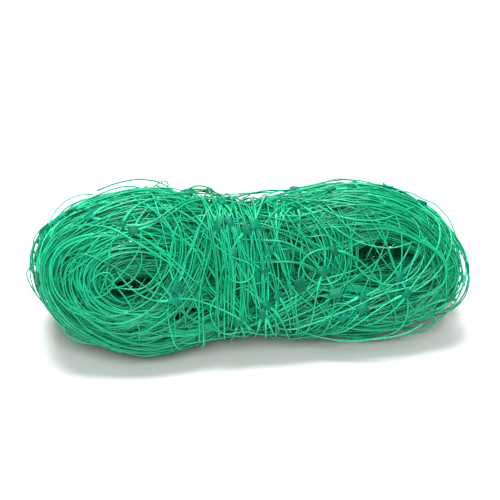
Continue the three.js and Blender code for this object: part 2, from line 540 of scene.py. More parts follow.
class TubeMesh:
    """Turns strands into one closed mesh of tubes."""

    least_height = 0.0001  # above the floor

    def __init__(self, sides: int) -> None:
        """Sets how many sides each tube has."""
        self.sides = sides

    def carried(self, strands: list[Strand]) -> tuple[np.ndarray, np.ndarray, np.ndarray]:
        """Directions across each strand, carried along it without twist.

        Args:
            strands: The strands.

        Returns:
            The strands' points, and two directions across the strand at each of them.
        """
        counts = [len(s.points) for s in strands]
        longest = max(counts)
        points = np.stack(
            [np.pad(s.points, ((0, longest - len(s.points)), (0, 0)), "edge") for s in strands]
        )
        heading = np.zeros_like(points)
        for i, s in enumerate(strands):
            heading[i, : counts[i]] = unit(np.gradient(s.points, axis=0))
            heading[i, counts[i] :] = heading[i, counts[i] - 1]
        first = heading[:, 0]
        aside = np.where(np.abs(first[:, 2:]) < 0.9, [[0.0, 0.0, 1.0]], [[1.0, 0.0, 0.0]])
        across = np.zeros_like(points)
        across[:, 0] = unit(np.cross(first, aside))
        for i in range(1, longest):
            step = points[:, i] - points[:, i - 1]
            bend = heading[:, i] - mirrored(heading[:, i - 1], step)
            across[:, i] = mirrored(mirrored(across[:, i - 1], step), bend)
        keep = np.arange(longest)[None, :] < np.array(counts)[:, None]
        other = np.cross(heading, across)
        return points[keep], across[keep], other[keep]

    def build(self, name: str, strands: list[Strand]) -> bpy.types.Object:
        """One object that holds the strands as tubes with closed ends.

        Args:
            name: The object's name.
            strands: The strands.

        Returns:
            The object, with a tone attribute on its points.
        """
        sides = self.sides
        points, across, other = self.carried(strands)
        radius = np.concatenate([s.radius for s in strands])
        tone = np.concatenate([s.tone for s in strands])
        around = np.arange(sides) * TAU / sides
        ring = (
            np.cos(around)[None, :, None] * across[:, None, :]
            + np.sin(around)[None, :, None] * other[:, None, :]
        )
        verts = points[:, None, :] + radius[:, None, None] * ring
        verts[..., 2] = np.maximum(verts[..., 2], self.least_height)
        counts = np.array([len(s.points) for s in strands])
        last = np.cumsum(counts) - 1
        first = last - counts + 1
        rings = np.setdiff1d(np.arange(counts.sum()), last)
        k = np.arange(sides)
        near = rings[:, None] * sides + k
        near_next = rings[:, None] * sides + (k + 1) % sides
        quads = np.stack((near, near_next, near_next + sides, near + sides), axis=-1)
        front_caps = first[:, None] * sides + k[::-1]
        back_caps = last[:, None] * sides + k
        corners = np.concatenate((quads.ravel(), front_caps.ravel(), back_caps.ravel()))
        quad_starts = np.arange(quads.shape[0] * sides) * 4
        cap_starts = quad_starts.size * 4 + np.arange(2 * len(strands)) * sides
        mesh = bpy.data.meshes.new(name)
        mesh.vertices.add(verts.shape[0] * sides)
        mesh.vertices.foreach_set("co", verts.astype(np.float32).ravel())
        mesh.loops.add(corners.size)
        mesh.loops.foreach_set("vertex_index", corners.astype(np.int32))
        mesh.polygons.add(quad_starts.size + cap_starts.size)
        starts = np.concatenate((quad_starts, cap_starts)).astype(np.int32)
        mesh.polygons.foreach_set("loop_start", starts)
        mesh.update(calc_edges=True)
        return smooth_piece(mesh, np.repeat(tone, sides).astype(np.float32))

    def triangles(self, strand: Strand) -> int:
        """How many triangles a strand takes."""
        return 2 * self.sides * (len(strand.points) - 1) + 2 * (self.sides - 2)


@dataclass
class Sight:
    """A view of the hank, which loose strands are laid out in."""

    form: HankForm
    azimuth: float = math.radians(-8)
    elevation: float = math.radians(28)
    distance: float = 1.0
    width_at_hank: float = 0.300
    aim_above_middle: float = 0.0085
    floor_gap: float = 0.0008

    def __post_init__(self) -> None:
        """Works out the directions of the view."""
        a, e = self.azimuth, self.elevation
        self.right = Vector((math.cos(a), math.sin(a), 0))
        self.into = Vector((-math.sin(a) * math.cos(e), math.cos(a) * math.cos(e), -math.sin(e)))
        self.up = self.right.cross(self.into)
        self.middle = Vector(self.form.middle)
        self.aim = self.middle + self.aim_above_middle * self.up
        self.eye = self.aim - self.distance * self.into
        self.skin = Skin(self.form)

    def ray(self, right: float, up: float) -> Vector:
        """The direction from the eye to a place in the plane through the hank's middle."""
        place = self.middle + self.right * float(right) + self.up * float(up)
        return (place - self.eye).normalized()

    def laid_on(self, route: np.ndarray, lift: np.ndarray) -> np.ndarray:
        """Lays a route that is seen from the front on the hank.

        Past the hank's outline the route keeps the depth that it has at the outline, or lies on
        the floor.

        Args:
            route: Places right of and above the hank's middle, finely divided.
            lift: How far above the hank's skin each of them is.

        Returns:
            The places in the part's frame.
        """
        reach = np.full(len(route), np.nan)
        normals = np.zeros((len(route), 3))
        rays = np.array([self.ray(*place) for place in route])
        for i, ray in enumerate(rays):
            hit, normal, _, depth = self.skin.tree.ray_cast(self.eye, Vector(ray))
            if hit is not None:
                reach[i] = depth
                normals[i] = normal if normal.dot(Vector(ray)) < 0 else -normal
        seen = np.nonzero(~np.isnan(reach))[0]
        if seen.size == 0:
            reach[:] = self.distance
        else:
            reach = np.interp(np.arange(len(route)), seen, reach[seen])
        window = min(9, 2 * ((len(route) - 1) // 2) + 1)
        kernel = np.ones(window) / window
        padded = np.pad(reach, window // 2, "edge")
        reach = np.convolve(padded, kernel, "valid")
        reach = np.minimum(reach, (self.floor_gap - self.eye.z) / rays[:, 2])
        return np.array(self.eye) + reach[:, None] * rays + lift[:, None] * normals

    def on_skin(self, right: float, up: float) -> tuple[Vector, Vector]:
        """The place on the skin that shows there in the view, and the direction out of it."""
        ray = self.ray(right, up)
        hit, _, _, _ = self.skin.tree.ray_cast(self.eye, ray)
        return self.skin.nearest(hit if hit is not None else self.eye + ray * self.distance)

    def wrapped_on(self, route: np.ndarray, over: float) -> tuple[np.ndarray, np.ndarray]:
        """Lays a route on the skin, and leads it on round the hank where it leaves the view.

        Args:
            route: Places right of and above the hank's middle, a route step apart.
            over: How far it is led on at each end.

        Returns:
            The path's places, and the directions out of the skin there.
        """
        hits = []
        for place in route:
            hit, _, _, _ = self.skin.tree.ray_cast(self.eye, self.ray(*place))
            if hit is not None:
                hits.append(hit)
        pairs = [self.skin.nearest(hit) for hit in hits]
        spots = np.array([spot for spot, _ in pairs])
        outs = np.array([out for _, out in pairs])
        straight = np.zeros(int(over / ROUTE_STEP))
        for last, before in ((-1, -3), (0, 2)):
            heading = Vector(spots[last] - spots[before]).normalized()
            more, more_outs = self.skin.walk(Vector(spots[last]), heading, straight, ROUTE_STEP)
            if last:
                spots, outs = np.vstack((spots, more)), np.vstack((outs, more_outs))
            else:
                spots, outs = np.vstack((more[::-1], spots)), np.vstack((more_outs[::-1], outs))
        return spots, outs

    def place_camera(self) -> None:
        """Puts the scene's camera at this view's eye."""
        data = bpy.data.cameras.new("camera")
        data.lens = data.sensor_width * self.distance / self.width_at_hank
        data.clip_start = 0.05
        data.clip_end = 20
        camera = in_scene("camera", data)
        axes = Matrix((self.right, self.up, -self.into)).transposed()
        camera.matrix_world = Matrix.Translation(self.eye) @ axes.to_4x4()
        bpy.context.scene.camera = camera


@dataclass(frozen=True)
class LockKind:
    """A sort of lock: strands of the wound net that run side by side like a ribbon."""

    count: int
    fewest: int  # strands in a lock
    most: int
    shallow: float  # depth in the leg, 1 at its surface
    deep: float
    shift: float  # how far a lock wanders round the leg, in radians
    spacing: float
    stray: float
    least_turns: float = 0.9
    most_turns: float = 1.5
    coarse: float = 1.0
    slack: tuple[float, float] = (0.18, 0.42)  # least and most sag at the right end


@dataclass
class WoundTurns:
    """The rope's turns through both legs, as locks of strands that run side by side."""

    form: HankForm
    style: NetStyle
    seed: int = 11
    combed: LockKind = LockKind(
        count=46, fewest=4, most=8, shallow=1.0, deep=0.82, shift=0.42, spacing=0.00125,
        stray=0.0012,
    )
    single: LockKind = LockKind(
        count=72, fewest=1, most=2, shallow=1.04, deep=0.92, shift=0.30, spacing=0.004,
        stray=0.0050, least_turns=0.5, most_turns=1.1, slack=(0.0, 0.45),
    )
    inner: LockKind = LockKind(
        count=26, fewest=4, most=6, shallow=0.76, deep=0.40, shift=0.4, spacing=0.0025,
        stray=0.003, coarse=1.7,
    )
    steps_per_turn: int = 200
    painted_depth_shade: float = 1.2  # painted shade: how much darker a lock is painted for its depth, standing in for the shade of the strands over it
    dive: float = 0.4  # how far the ends go in, as a share of the leg
    dive_reach: float = 0.025

    def lock(self, rng: np.random.Generator, kind: LockKind, round_leg: float) -> list[Strand]:
        """The strands of one lock.

        Args:
            rng: Where its chance comes from.
            kind: The sort of lock.
            round_leg: Where round the leg it starts.

        Returns:
            Its strands.
        """
        turns = rng.uniform(kind.least_turns, kind.most_turns)
        start = rng.uniform(0, TAU)
        angle = start + np.linspace(0, TAU * turns, int(self.steps_per_turn * turns))
        angle = rng.choice((-1, 1)) * angle
        depth = rng.uniform(kind.deep, kind.shallow)
        middle = self.form.in_section(
            angle, np.full_like(angle, depth), np.full_like(angle, round_leg)
        )
        along = travelled(middle)
        sideways = round_leg + wander(rng, along, kind.shift, 0.10, 0.50)
        inward = depth + wander(rng, along, 0.035, 0.08, 0.4)
        inward = inward - self.dive * diving(along, self.dive_reach)
        slack = rng.uniform(*kind.slack) * bell(np.sin(angle), 0, 0.5) * (np.cos(angle) > 0)
        twist = rng.normal(0, 0.3) + wander(rng, along, 0.6, 0.10, 0.4)
        # painted shade: deeper locks get a darker tone
        tone = rng.normal(0, 0.12) - self.painted_depth_shade * max(0, 1 - depth)
        members = rng.integers(kind.fewest, kind.most + 1)
        strands = []
        for member in range(members):
            apart = kind.spacing * (member - 0.5 * (members - 1) + rng.normal(0, 0.18))
            across = apart * np.cos(twist) + wander(rng, along, kind.stray, 0.05, 0.25)
            deep = apart * np.sin(twist) / self.form.leg_radius
            at = np.clip(inward + deep + wander(rng, along, 0.02, 0.03, 0.15), 0.02, 1.08)
            round_it = sideways + across / self.form.leg_radius
            points = self.form.in_section(angle, at, round_it, slack) + wiggle(rng, along, 0.0005)
            strands.append(self.style.strand(rng, points, tone, coarse=kind.coarse))
        return strands

    def strands(self, kind: LockKind, seed: int) -> list[Strand]:
        """All the strands of one sort of lock.

        Args:
            kind: The sort of lock.
            seed: What is added to the turns' seed for it.

        Returns:
            Its strands.
        """
        rng = np.random.default_rng(self.seed + seed)
        out = []
        for i in range(kind.count):
            out += self.lock(rng, kind, GOLDEN_TURN * i + rng.normal(0, 0.1))
        return out

    def outer_strands(self) -> list[Strand]:
        """The strands at and near the surface."""
        return self.strands(self.combed, 1) + self.strands(self.single, 2)

    def inner_strands(self) -> list[Strand]:
        """The strands deep inside the legs."""
        return self.strands(self.inner, 3)


@dataclass
class PackedInside:
    """The strands that close the eyes behind and fill the legs at the waist."""

    form: HankForm
    style: NetStyle
    seed: int = 17
    loops: int = 60
    crossings: int = 190
    filling: int = 260
    filling_reach: float = 0.035
    front_row: float = 0.10
    back_row: float = -0.90
    # painted shade: the packed strands are painted darker, standing in for the shade deep inside the
    # hank
    tone: float = -0.5

    def strands(self) -> list[Strand]:
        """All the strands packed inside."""
        rng = np.random.default_rng(self.seed)
        out = []
        for i in range(self.loops):
            angle = rng.uniform(0, TAU) + np.linspace(0, TAU * rng.uniform(0.5, 1.1), 120)
            share = 0.25 + 0.85 * ((i * 0.618) % 1.0)
            row = rng.uniform(self.back_row, self.front_row)
            along = travelled(self.form.in_eye(angle, np.full_like(angle, share), angle * 0 + row))
            share = share + wander(rng, along, 0.25, 0.06, 0.2)
            row = np.clip(row + wander(rng, along, 0.18, 0.06, 0.25), -0.96, self.front_row)
            points = self.form.in_eye(angle, share, row) + wiggle(rng, along, 0.001)
            out.append(self.style.strand(rng, points, self.tone, coarse=1.4))
        for i in range(self.crossings):
            eye = self.form.eyes[i % 2]
            x = eye.middle + rng.uniform(-1.4, 1.4) * eye.spread
            t = np.linspace(-1, 1, 30)
            along = (t + 1) * 0.02
            row = rng.uniform(self.back_row, 0.3 * self.front_row)
            place = x + t * rng.uniform(-0.012, 0.012) + wander(rng, along, 0.004, 0.02, 0.08)
            w = t * 0.020 + self.form.eye_shift(place) + self.form.middle_line(place)
            n = (row + wander(rng, along, 0.15, 0.02, 0.08)) * self.form.half_depth(place)
            points = self.form.stand_up(place, w, n)
            out.append(self.style.strand(rng, points, self.tone, coarse=2.0))
        for _ in range(self.filling):
            place = rng.uniform(-1, 1) * self.filling_reach + np.linspace(-0.025, 0.025, 16)
            along = place - place[0]
            side = rng.uniform(-0.78, 0.78) + wander(rng, along, 0.1, 0.04, 0.2)
            row = rng.uniform(-0.8, 0.8) + wander(rng, along, 0.1, 0.04, 0.2)
            w = side * self.form.half_height(place) + self.form.middle_line(place)
            points = self.form.stand_up(place, w, row * self.form.half_depth(place))
            out.append(self.style.strand(rng, points, self.tone, coarse=2.5))
        return out


@dataclass
class WaistWraps:
    """The end of the rope, wound round the waist."""

    form: HankForm
    style: NetStyle
    seed: int = 23
    locks: int = 24
    fewest: int = 4
    most: int = 8
    singles: int = 10
    left_edge: float = -0.026
    right_edge: float = 0.016
    left_lean: float = -0.34
    lean_spread: float = 0.05
    thickness: float = 0.0065
    spacing: float = 0.00085
    ring_radius: float = 0.038  # about how far from the middle line the strands run
    # painted shade: how much darker the inner wraps are painted, standing in for the shade of the wraps
    # over them
    painted_depth_shade: float = 0.5
    dive: float = 0.012
    dive_reach: float = 0.012

    def lock(
        self, rng: np.random.Generator, share: float, members: int, stray: float
    ) -> list[Strand]:
        """The strands of one lock.

        Args:
            rng: Where its chance comes from.
            share: Where it lies between the wraps' two edges.
            members: How many strands it has.
            stray: How far each of them strays from it.

        Returns:
            Its strands.
        """
        at = self.left_edge + share * (self.right_edge - self.left_edge)
        lean = (1 - share) * self.left_lean + rng.normal(0, self.lean_spread)
        turns = rng.uniform(0.7, 1.4)
        angle = rng.uniform(0, TAU) + np.linspace(0, TAU * turns, int(110 * turns))
        along = (angle - angle[0]) * self.ring_radius
        drift = wander(rng, along, 0.005, 0.12, 0.35)
        out_from = rng.uniform(0.0005, self.thickness)
        # painted shade: wraps lying nearer the legs get a darker tone
        tone = rng.normal(0, 0.12) - self.painted_depth_shade * (1 - out_from / self.thickness)
        strands = []
        for member in range(members):
            side = self.spacing * (member - 0.5 * (members - 1) + rng.normal(0, 0.2))
            out = out_from + rng.uniform(-1, 1) * 0.0008 + wander(rng, along, 0.0012, 0.03, 0.12)
            x = at + drift + side + wander(rng, along, stray, 0.05, 0.2)
            x = x + lean * self.form.waist_half_height * np.cos(angle)
            out = np.maximum(out, 0.0003) * self.form.wrapped(x) / self.form.wrap_rise
            out = out - self.dive * diving(along, self.dive_reach)
            points = self.form.round_waist(x, angle, out) + wiggle(rng, along, 0.0005)
            strands.append(self.style.strand(rng, points, tone))
        return strands

    def strands(self) -> list[Strand]:
        """All the strands round the waist."""
        rng = np.random.default_rng(self.seed)
        out = []
        for i in range(self.locks):
            share = (i * GOLDEN_SHARE + rng.normal(0, 0.03)) % 1.0
            out += self.lock(rng, share, rng.integers(self.fewest, self.most + 1), 0.0006)
        for _ in range(self.singles):
            out += self.lock(rng, rng.uniform(0, 1), 1, 0.006)
        return out


@dataclass(frozen=True)
class Guide:
    """A bundle that crosses the winding on the front, by the middle line of its route."""

    route: tuple[tuple[float, float], ...]
    count: int
    half_width: float  # in millimetres, as the route is
    low: float = -0.004  # the least and most lift off the skin, in metres
    high: float = 0.003


@dataclass
class FrontBundles:
    """The bundles that run across the winding on the front."""

    sight: Sight
    style: NetStyle
    seed: int = 31
    dive: float = 0.010
    dive_reach: float = 0.006
    side_wander: float = 0.36  # as a share of the half width
    guides: tuple[Guide, ...] = (
        # each one's route, its number of strands, its half width, and its lowest and highest lift
        # round the left eye from below, up between it and the waist, and over the top
        Guide(((-93, -43), (-66, -38), (-47, -27), (-36, -13), (-30, 3), (-25, 21), (-17, 37),
              (-6, 46)), 20, 7),
        Guide(((-104, -31), (-80, -36), (-60, -27), (-47, -12), (-41, 5), (-43, 22), (-55, 36),
              (-75, 44)), 18, 7),
        # down across the waist from the upper left
        Guide(((-84, 43), (-60, 31), (-40, 14), (-20, -12), (-2, -36), (4, -44)), 5, 8),
        Guide(((-70, 48), (-45, 38), (-22, 18), (-8, -10), (4, -30)), 3, 6),
        # ribbons of the last turns, down the front of the waist
        Guide(((-28, 37), (-23, 24), (-19, 6), (-18, -14), (-19, -32)), 6, 2.6, 0.001, 0.004),
        Guide(((-19, 36), (-14, 22), (-11, 4), (-11, -16), (-12, -33)), 6, 2.4, 0.001, 0.004),
        Guide(((-8, 36), (-5, 22), (-3, 6), (-3, -12), (-4, -32)), 5, 2.2, 0.001, 0.004),
        Guide(((1, 36), (4, 22), (7, 6), (8, -12), (7, -32)), 6, 2.6, 0.001, 0.004),
        # the whorl that turns down between the waist and the right eye
        Guide(((14, 44), (36, 41), (49, 33), (56, 19), (56, 1), (52, -17), (45, -32), (33, -42)),
              18, 7),
        Guide(((24, 28), (40, 22), (46, 8), (42, -8), (30, -22), (16, -30)), 9, 6),
        # out of the waist to the right, fanning down and up
        Guide(((6, 18), (22, 14), (34, 7), (44, -5)), 8, 7, high=0.004),
        Guide(((6, 3), (20, 5), (34, 1), (44, -7)), 6, 5, high=0.004),
        Guide(((8, 30), (26, 26), (44, 28), (58, 33)), 8, 7, high=0.004),
        Guide(((8, -30), (24, -20), (42, -10), (60, -6)), 8, 7),
        # round the left end of the left eye
        Guide(((-44, 10), (-62, 17), (-84, 14), (-99, 4), (-104, -10), (-97, -25), (-80, -34),
              (-58, -34)), 16, 6),
        Guide(((-50, 1), (-66, 7), (-82, 4), (-92, -5), (-91, -17), (-78, -26), (-60, -27)),
              12, 5),
        # side by side from the whorl to the right end, above the right eye
        Guide(((40, 37), (62, 38), (86, 34), (104, 24), (116, 8), (119, -6)),
              14, 5, -0.002, 0.004),
        Guide(((48, 26), (70, 28), (92, 24), (106, 13), (112, -2)), 16, 7, -0.002, 0.004),
        # over and under the right eye
        Guide(((40, 44), (66, 38), (92, 28), (112, 10), (118, -8)), 9, 7),
        Guide(((30, -38), (58, -30), (84, -20), (104, -14), (120, -4)), 10, 6),
        # round the right end of the right eye
        Guide(((70, -40), (94, -33), (110, -18), (116, -2), (111, 13), (98, 26), (80, 35)), 16, 7),
    )

    def strands(self) -> list[Strand]:
        """All the bundles' strands."""
        rng = np.random.default_rng(self.seed)
        out = []
        for guide in self.guides:
            middle = smooth_route(np.array(guide.route) * MM, ROUTE_STEP)
            heading = unit(np.gradient(middle, axis=0))
            across = np.stack((-heading[:, 1], heading[:, 0]), axis=1)
            along = travelled(middle)
            tone = rng.normal(0, 0.1)
            for number in range(guide.count):
                start = int(rng.uniform(0, 0.25) * len(middle))
                stop = int(rng.uniform(0.75, 1) * len(middle))
                side = 2 * (number + rng.normal(0.5, 0.3)) / guide.count - 1
                side = side * guide.half_width * MM
                side = side * (1 + wander(rng, along, 0.3, 0.08, 0.3))
                reach = self.side_wander * guide.half_width * MM
                side = side + wander(rng, along, reach, 0.04, 0.15)
                route = (middle + across * side[:, None])[start:stop]
                spots, outs = self.sight.wrapped_on(route, rng.uniform(0.010, 0.035))
                here = travelled(spots)
                lift = rng.uniform(guide.low, guide.high) + wander(rng, here, 0.001, 0.03, 0.12)
                points = raised(spots, outs, lift - self.dive * diving(here, self.dive_reach))
                out.append(self.style.strand(rng, points + wiggle(rng, here, 0.0004), tone))
        return out


@dataclass(frozen=True)
class WeldSpot:
    """Where a weld lies, which way it faces and runs, and how big it is."""

    place: np.ndarray
    outward: np.ndarray
    heading: np.ndarray
    size: float


@dataclass
class Crossings:
    """The net's welds and the pairs of strands that cross in them."""

    form: HankForm
    sight: Sight
    style: NetStyle
    seed: int = 41
    elsewhere: int = 100
    front: tuple[tuple[float, float, float], ...] = (
        # right, up and size of each weld that shows on the front
        (-105, 29, 1.0), (-95, 26, 0.8), (-121, 19, 1.0), (-119, 12, 0.9), (-70, 20, 0.8),
        (-76, 23, 0.7), (-85, 2, 0.8), (-124, -8, 1.0), (-118, -13, 0.9), (-45, -13, 1.2),
        (-47, -21, 1.0), (-80, -50, 0.9), (-37, 39, 1.0), (-26, 41, 1.0), (-17, 34, 1.1),
        (-19, 23, 0.9), (-13, 25, 0.9), (-11, 6, 1.2), (-2, 21, 1.0), (2, 23, 1.0),
        (12, 9, 0.8), (8, -3, 0.9), (16, 31, 0.9), (27, 41, 1.0), (27, 33, 0.9),
        (29, -12, 1.2), (16, -18, 0.8), (10, -24, 0.8), (7, -29, 0.8), (-7, -34, 0.9),
        (43, 46, 0.9), (49, 41, 1.0), (61, 43, 0.8), (81, 42, 0.9), (95, 41, 1.0),
        (104, 38, 0.9), (50, 9, 0.9), (43, -4, 1.0), (51, -17, 1.2), (89, -7, 1.0),
        (93, -17, 0.9), (130, -2, 0.9), (67, -26, 0.9), (56, -31, 0.9), (67, -19, 0.8),
    )
    arm: float = 0.070
    splay_reach: float = 0.013
    step: float = 0.002
    pull: float = 20.0
    bend: float = 18.0
    tone: float = 0.1
    dive: float = 0.010
    dive_reach: float = 0.008
    leg_dive: float = 0.35  # as a share of the leg
    leg_dive_reach: float = 0.012
    plate_rise: float = 0.0006  # of a weld above its strands

    def arms(
        self, rng: np.random.Generator, spot: Vector, out: Vector, heading: Vector, splay: float
    ) -> tuple[np.ndarray, np.ndarray, int]:
        """A strand's path both ways from a weld.

        Args:
            rng: Where its chance comes from.
            spot: The weld's place on the skin.
            out: The direction out of the skin there.
            heading: The way the pair of strands runs there.
            splay: How far the strand is turned from it in the weld.

        Returns:
            The path's places, the directions out of the skin there, and which place is the weld.
        """
        ahead = turned(heading, out, splay)
        halves = []
        for way in (-1, 1):
            count = int(rng.uniform(0.5, 1.3) * self.arm / self.step)
            s = np.arange(1, count + 1) * self.step
            bend = -splay / self.splay_reach * np.exp(-s / self.splay_reach)
            bend = bend + wander(rng, s, self.bend, 0.03, 0.15) * (1 - np.exp(-s / 0.02))
            halves.append(self.sight.skin.walk(spot, ahead * way, bend, self.step, self.pull))
        back, front = halves
        spots = np.vstack((back[0][::-1], [spot], front[0]))
        outs = np.vstack((back[1][::-1], [out], front[1]))
        return spots, outs, len(back[0])

    def cross_on_front(
        self, rng: np.random.Generator, right: float, up: float, size: float
    ) -> tuple[list[Strand], WeldSpot]:
        """A weld at a place on the front, and its two strands.

        Args:
            rng: Where its chance comes from.
            right: How far right of the hank's middle it shows.
            up: How far above the hank's middle it shows.
            size: How big it is.

        Returns:
            The two strands and the weld's spot.
        """
        spot, out = self.sight.on_skin(right * MM, up * MM)
        heading = turned(self.sight.skin.flow(spot, out), out, rng.normal(0, 0.25))
        rise = rng.uniform(0.0020, 0.0042)
        splay = rng.uniform(0.35, 0.8)
        pair = []
        for sign in (1, -1):
            path, outs, at = self.arms(rng, spot, out, heading, sign * splay)
            along = travelled(path)
            far = 1 - bell(along, along[at], 0.01)
            lift = rise + wander(rng, along, 0.0014, 0.04, 0.15) * far
            points = raised(path, outs, lift - self.dive * diving(along, self.dive_reach))
            pair.append(self.style.strand(rng, points, self.tone, welds=(float(along[at]),)))
        middle = np.array(spot + out * (rise + self.plate_rise))
        return pair, WeldSpot(middle, np.array(out), np.array(heading), size)

    def cross_in_leg(
        self, rng: np.random.Generator, number: int
    ) -> tuple[list[Strand], WeldSpot]:
        """A weld somewhere on the legs, and its two strands.

        Args:
            rng: Where its chance comes from.
            number: Which weld this is.

        Returns:
            The two strands and the weld's spot.
        """
        angle_at = rng.uniform(0, TAU)
        round_at = number * GOLDEN_TURN % TAU
        if math.sin(round_at) > 0.55 and number % 3:
            round_at += math.pi
        t = np.linspace(-1, 1, 81)
        mid = len(t) // 2
        angle = angle_at + t * rng.uniform(0.55, 0.9)
        depth = rng.uniform(0.95, 1.04)
        flat = self.form.in_section(angle, np.full_like(t, depth), np.full_like(t, round_at))
        along = travelled(flat)
        s = along - along[mid]
        far = 1 - bell(s, 0, 0.02)
        splay = rng.uniform(0.0025, 0.005)
        pair = []
        for sign in (1, -1):
            aside = sign * splay * np.tanh(s / 0.006)
            aside = aside + wander(rng, along, 0.008, 0.08, 0.25) * far
            at = depth + wander(rng, along, 0.03, 0.05, 0.2) * far
            at = at - self.leg_dive * diving(along, self.leg_dive_reach)
            points = self.form.in_section(angle, at, round_at + aside / self.form.leg_radius)
            pair.append(self.style.strand(rng, points, self.tone, welds=(float(along[mid]),)))
        heading = unit(flat[mid + 1] - flat[mid - 1])
        outside = self.form.in_section(angle[mid : mid + 1], np.array([1.2]), np.array([round_at]))
        out = outside[0] - flat[mid]
        out = unit(out - heading * out.dot(heading))
        return pair, WeldSpot(flat[mid], out, heading, rng.uniform(0.75, 1.05))

    def build(self) -> tuple[list[Strand], list[WeldSpot]]:
        """All the crossing strands, and the spots for their welds."""
        rng = np.random.default_rng(self.seed)
        made = [self.cross_on_front(rng, *weld) for weld in self.front]
        made += [self.cross_in_leg(rng, i) for i in range(self.elsewhere)]
        strands = [strand for pair, _ in made for strand in pair]
        return strands, [spot for _, spot in made]


@dataclass(frozen=True)
class Stray:
    """A single loose strand, by its route as the front view shows it."""

    route: tuple[tuple[float, float], ...]
    lift: float = 0.002


